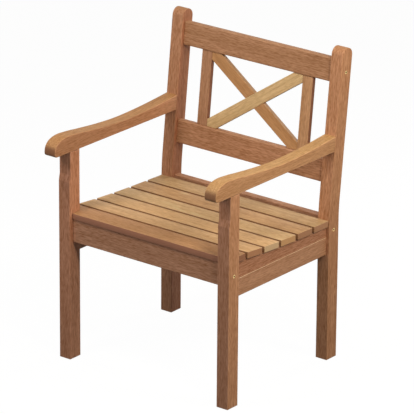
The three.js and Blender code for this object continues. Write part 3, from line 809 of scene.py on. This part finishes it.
bolt_sizes = {
    "Head radius": 0.005,
    "Head height": 0.006,
    "Shank radius": 0.003,
    "Length": bolt_length,
    "Socket radius": 0.0029,
    "Socket depth": 0.003,
}
bolt_tree, bolt_sockets = tree_of_shapes("socket_bolts", bolt_sizes)
given = add(bolt_tree, "NodeGroupInput").outputs


def turned_bar(radius, length, sides, top):
    """A bar along Z whose top face is at a height, as Geometry Nodes."""
    bar = add(
        bolt_tree,
        "GeometryNodeMeshCylinder",
        {"Vertices": sides, "Radius": radius, "Depth": length},
    )
    down = add(bolt_tree, "ShaderNodeMath", {0: length, 1: -0.5, 2: top}, operation="MULTIPLY_ADD")
    lowered = add(bolt_tree, "ShaderNodeCombineXYZ", {"Z": down})
    return add(bolt_tree, "GeometryNodeTransform", {"Geometry": bar, "Translation": lowered})


shank_start = 0.004
socket_overrun = 0.001
head = turned_bar(given["Head radius"], given["Head height"], 32, 0.0)
shank_length = add(
    bolt_tree, "ShaderNodeMath", {0: given["Length"], 1: shank_start}, operation="SUBTRACT"
)
shank = turned_bar(given["Shank radius"], shank_length, 20, -shank_start)
body = add(
    bolt_tree, "GeometryNodeMeshBoolean", {"Mesh 2": head}, operation="UNION", solver="EXACT"
)
bolt_tree.links.new(shank.outputs[0], body.inputs["Mesh 2"])
hexagon_length = add(
    bolt_tree, "ShaderNodeMath", {0: given["Socket depth"], 1: socket_overrun}, operation="ADD"
)
hexagon = turned_bar(given["Socket radius"], hexagon_length, 6, socket_overrun)
# The socket's faces carry a mark, and there the finish is painted dark brown: painted shade in the
# recess.
hexagon = add(
    bolt_tree,
    "GeometryNodeStoreNamedAttribute",
    {"Geometry": hexagon, "Name": "socket", "Value": 1.0},
    domain="FACE",
)
bolt = add(
    bolt_tree,
    "GeometryNodeMeshBoolean",
    {"Mesh 1": body, "Mesh 2": hexagon},
    operation="DIFFERENCE",
    solver="EXACT",
)
turn = add(
    bolt_tree, "GeometryNodeInputNamedAttribute", {"Name": "turn"}, data_type="FLOAT_VECTOR"
)
set_in = add(
    bolt_tree,
    "GeometryNodeInstanceOnPoints",
    {"Points": given["Places"], "Instance": bolt, "Rotation": turn},
)
finish_shapes(bolt_tree, set_in)
grow(bolts, bolt_tree, bolt_sockets, {**bolt_sizes, "Finish": passivated})
ease(bolts, 0.0004)
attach(bolts, "root")
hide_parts(*bolt_names)

# Barrel nuts: zinc-plated steel cross dowels that the bolts screw into. Each sits in a cross bore
# of its rail, where only its end shows. The plating is pale grey, with a fine crystal clouding.
zinc = clouded_finish(
    "zinc_plated_steel", 2.5, ("#c9c9c4", "#a9aaa8"), (0.3, 0.5), metallic=1.0
)
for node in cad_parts:
    if "barrel_nut" in node:
        clothe(node, zinc)

# Dowels: turned beech pins inside the slat, rail and post joints. They are hidden in the timber.
# Beech is pale and close-grained, and it stays dry inside the joint.
beech = grained_timber("turned_beech", (0, 0, 1), (0.1, 0.2, 0), "#c0a87f", stripe=0.5)
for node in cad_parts:
    if "dowel" in node:
        clothe(node, beech)

# Floor: a plain pale studio floor that shows white to the camera and keeps a faint soft shadow.
# What the camera sees is mostly its own white, so little of the matt paint's shade is left.
reach = 30.0
floor_mesh = bpy.data.meshes.new("studio_floor")
floor_mesh.from_pydata(
    [(-reach, -reach, 0), (reach, -reach, 0), (reach, reach, 0), (-reach, reach, 0)],
    [],
    [(0, 1, 2, 3)],
)
floor = placed("studio_floor", floor_mesh)
paint = blank_finish("pale_floor_paint")
floor_shades = paint.node_tree


def looked_at(tree):
    """1 for rays from the camera and from gloss and glass, which show the white room, else 0."""
    rays = add(tree, "ShaderNodeLightPath").outputs
    seen = rays["Is Camera Ray"]
    for kind in ("Is Glossy Ray", "Is Transmission Ray"):
        seen = add(tree, "ShaderNodeMath", {0: seen, 1: rays[kind]}, operation="MAXIMUM")
    return seen


white_share = 0.73
own_white = 1.335
matt = add(floor_shades, "ShaderNodeBsdfDiffuse", {"Color": linear("#606060")})
white = add(floor_shades, "ShaderNodeEmission", {"Strength": own_white})
shown = {0: looked_at(floor_shades), 1: white_share}
shown_white = add(floor_shades, "ShaderNodeMath", shown, operation="MULTIPLY")
floor_mix = add(floor_shades, "ShaderNodeMixShader", {0: shown_white, 1: matt, 2: white})
add(floor_shades, "ShaderNodeOutputMaterial", {"Surface": floor_mix})
floor_mesh.materials.append(paint)

# Room light: a weak soft light from all round, with a white backdrop for the camera.
# Metal sees that backdrop too.
room = bpy.data.worlds.new("white_room")
bpy.context.scene.world = room
room.use_nodes = True
room_tree = room.node_tree
room_tree.nodes.clear()
soft, backdrop = (
    add(room_tree, "ShaderNodeBackground", {"Color": (1, 1, 1, 1), "Strength": strength})
    for strength in (0.03, 1.0)
)
room_mix = add(room_tree, "ShaderNodeMixShader", {0: looked_at(room_tree), 1: soft, 2: backdrop})
add(room_tree, "ShaderNodeOutputWorld", {"Surface": room_mix})

# Lamps: soft boxes in an arch over the front and the right of the chair, one on its left and a
# larger one behind. Each is given by its bearing from the front and its rise above the level, in
# degrees, then its distance, size, power and tint. All aim at the middle of the chair.
aim = Vector((0, 0, 0.45))
for name, bearing, rise, distance, size, power, tint in (
    ("front_box", -20, 60, 2.2, 0.4, 10.5, "#fff9e2"),
    ("low_front_box", -20, 36, 1.7, 0.4, 5.6, "#fff6f4"),
    ("knee_front_box", -20, 12, 2.2, 0.4, 2.2, "#fff6f4"),
    ("left_box", -85, 25, 2.2, 0.4, 8.0, "#ffffff"),
    ("front_right_box", 45, 60, 2.2, 0.4, 7.5, "#fff9e2"),
    ("right_box", 65, 38, 2.5, 0.4, 21.0, "#fff9ee"),
    ("high_right_box", 90, 60, 2.2, 0.4, 3.0, "#fff9e2"),
    ("side_box", 100, 32, 2.5, 0.4, 20.0, "#fff9ea"),
    ("rear_box", 170, 25, 2.2, 0.6, 17.0, "#ffffff"),
):
    across, height = math.radians(bearing), math.radians(rise)
    level = Vector((math.sin(across), -math.cos(across), 0))
    outward = math.cos(height) * level + Vector((0, 0, math.sin(height)))
    lamp = bpy.data.lights.new(name, "AREA")
    lamp.shape = "SQUARE"
    lamp.size = size
    lamp.energy = power
    lamp.color = linear(tint)[:3]
    box = placed(name, lamp)
    box.location = aim + distance * outward
    box.rotation_mode = "QUATERNION"
    box.rotation_quaternion = (-outward).to_track_quat("-Z", "Y")

# Camera: a long lens from the front right, above the arms, with hardly any roll.
# It looks past the middle of the seat by a few centimetres, as the photo is framed.
azimuth, elevation, roll = (math.radians(angle) for angle in (38.167, 20.568, 0.443))
distance, moved_right, moved_up = 10.434464, 0.039495, 0.024699
seat_centre = Vector((0, leg_low.y + 0.220, 0.430))
level = Vector((math.sin(azimuth), -math.cos(azimuth), 0))
behind = math.cos(elevation) * level + Vector((0, 0, math.sin(elevation)))
sideways = Vector((math.cos(azimuth), math.sin(azimuth), 0))
upright = behind.cross(sideways)
right = math.cos(roll) * sideways + math.sin(roll) * upright
up = math.cos(roll) * upright - math.sin(roll) * sideways
looked_from = seat_centre + distance * behind + moved_right * right + moved_up * up
lens = bpy.data.cameras.new("camera")
lens.lens = 327.2
lens.sensor_width = 36
lens.clip_end = 100
camera = placed("camera", lens)
camera.matrix_world = Matrix(
    (
        (right.x, up.x, behind.x, looked_from.x),
        (right.y, up.y, behind.y, looked_from.y),
        (right.z, up.z, behind.z, looked_from.z),
        (0, 0, 0, 1),
    )
)
bpy.context.scene.camera = camera
bpy.context.scene.view_settings.view_transform = "Standard"
